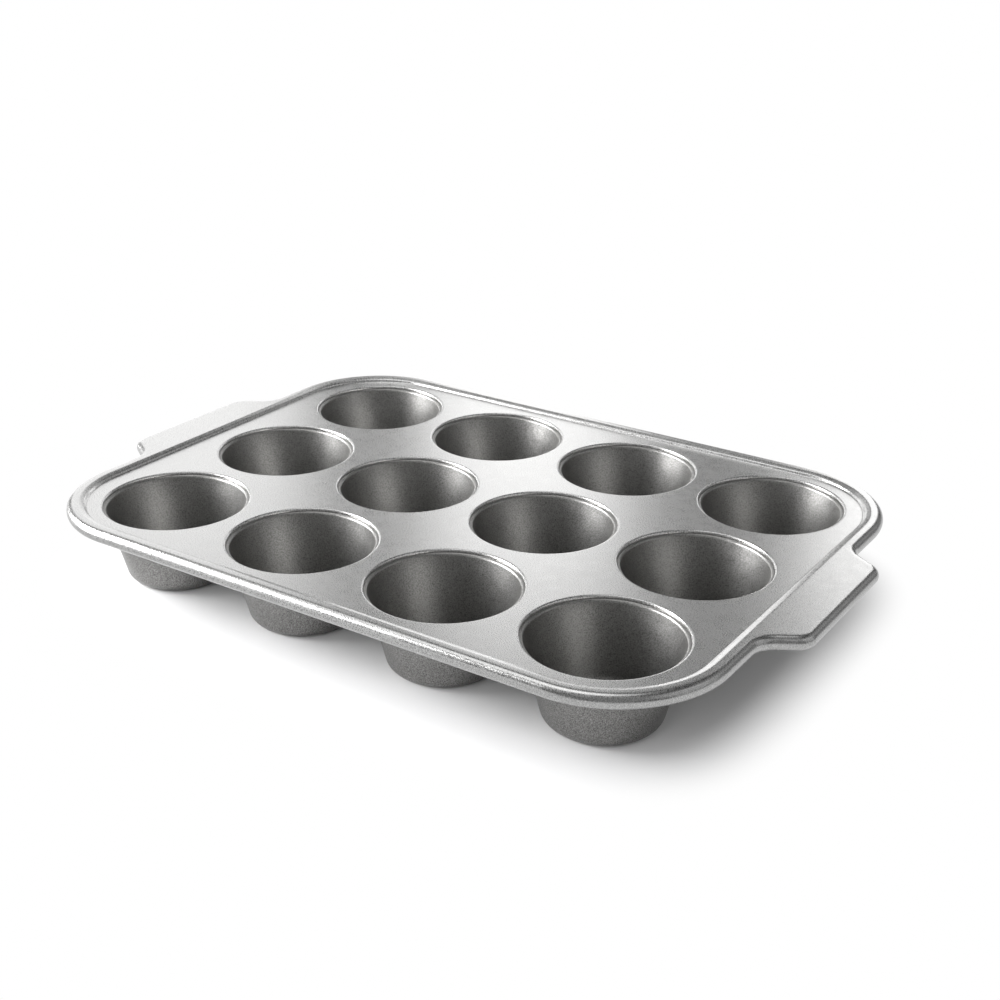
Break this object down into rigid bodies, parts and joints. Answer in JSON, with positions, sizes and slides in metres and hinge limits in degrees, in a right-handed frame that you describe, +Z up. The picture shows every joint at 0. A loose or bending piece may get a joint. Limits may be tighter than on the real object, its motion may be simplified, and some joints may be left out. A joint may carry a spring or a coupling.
{
  "type": "muffin tin",
  "caption": "Metal muffin tin: a pressed sheet deck with a step round the cups, a rolled edge over a wire, a lift handle at each end and a grid of round tapered cups pressed on collars under it.",
  "frame": {"origin": "centre of the tin in plan, on the surface that the cups' floors stand on", "axes": "+X along the tin from handle to handle, +Y across it from the front row of cups to the back row, +Z up out of the cups"},
  "size_m": [0.3978, 0.2714, 0.0421],
  "materials": {
    "deck_sheet": "satin silver-grey metallic bakeware coat with a fine grain",
    "cup_sheet": "satin silver-grey metallic bakeware coat with a fine grain",
    "wire": "plain drawn steel wire"
  },
  "bodies": {
    "root": {"deck": "deck_sheet", "rim_wire": "wire", "cup_front_1": "cup_sheet", "cup_front_2": "cup_sheet", "cup_front_3": "cup_sheet", "cup_front_4": "cup_sheet", "cup_middle_1": "cup_sheet", "cup_middle_2": "cup_sheet", "cup_middle_3": "cup_sheet", "cup_middle_4": "cup_sheet", "cup_back_1": "cup_sheet", "cup_back_2": "cup_sheet", "cup_back_3": "cup_sheet", "cup_back_4": "cup_sheet"}
  },
  "joints": []
}
